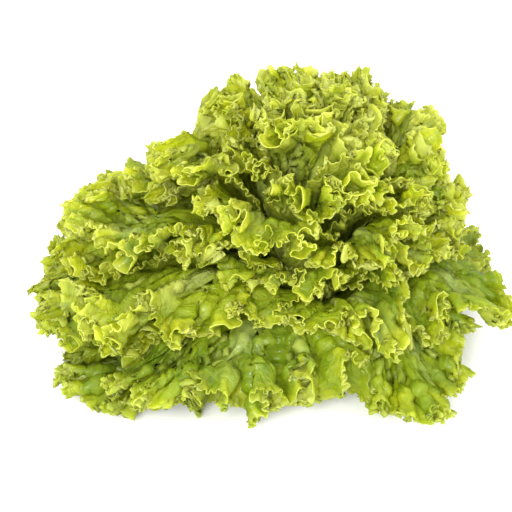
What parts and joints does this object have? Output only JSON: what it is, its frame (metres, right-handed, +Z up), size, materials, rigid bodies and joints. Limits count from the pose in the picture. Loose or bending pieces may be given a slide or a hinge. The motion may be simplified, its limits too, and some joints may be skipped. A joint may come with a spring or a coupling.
{
  "type": "batavia lettuce",
  "caption": "Whole head of batavia lettuce with ruffled yellow-green leaves around a short cut stem, standing upright and fallen open on one side.",
  "frame": {"origin": "middle of the stem's flat cut face, which the head stands on", "axes": "+Z up along the stem, -Y towards the front, -X towards the side where the outer leaves have fallen open"},
  "size_m": [0.3441, 0.3101, 0.1847],
  "materials": {
    "leaf_green": "satin",
    "stem_white": "matte"
  },
  "bodies": {
    "root": {"stem": "stem_white", "leaf_01": "leaf_green", "leaf_02": "leaf_green", "leaf_03": "leaf_green", "leaf_04": "leaf_green", "leaf_05": "leaf_green", "leaf_06": "leaf_green", "leaf_07": "leaf_green", "leaf_08": "leaf_green", "leaf_09": "leaf_green", "leaf_10": "leaf_green", "leaf_11": "leaf_green", "leaf_12": "leaf_green", "leaf_13": "leaf_green", "leaf_14": "leaf_green", "leaf_15": "leaf_green", "leaf_16": "leaf_green", "leaf_17": "leaf_green", "leaf_18": "leaf_green", "leaf_19": "leaf_green", "leaf_20": "leaf_green", "leaf_21": "leaf_green", "leaf_22": "leaf_green", "leaf_23": "leaf_green", "leaf_24": "leaf_green", "leaf_25": "leaf_green", "leaf_26": "leaf_green", "leaf_27": "leaf_green", "leaf_28": "leaf_green", "leaf_29": "leaf_green", "leaf_30": "leaf_green", "leaf_31": "leaf_green", "leaf_32": "leaf_green", "leaf_33": "leaf_green", "leaf_34": "leaf_green", "leaf_35": "leaf_green", "leaf_36": "leaf_green", "leaf_37": "leaf_green", "leaf_38": "leaf_green", "leaf_39": "leaf_green", "leaf_40": "leaf_green", "leaf_41": "leaf_green", "leaf_42": "leaf_green", "leaf_43": "leaf_green", "leaf_44": "leaf_green", "leaf_45": "leaf_green", "leaf_46": "leaf_green"}
  },
  "joints": []
}
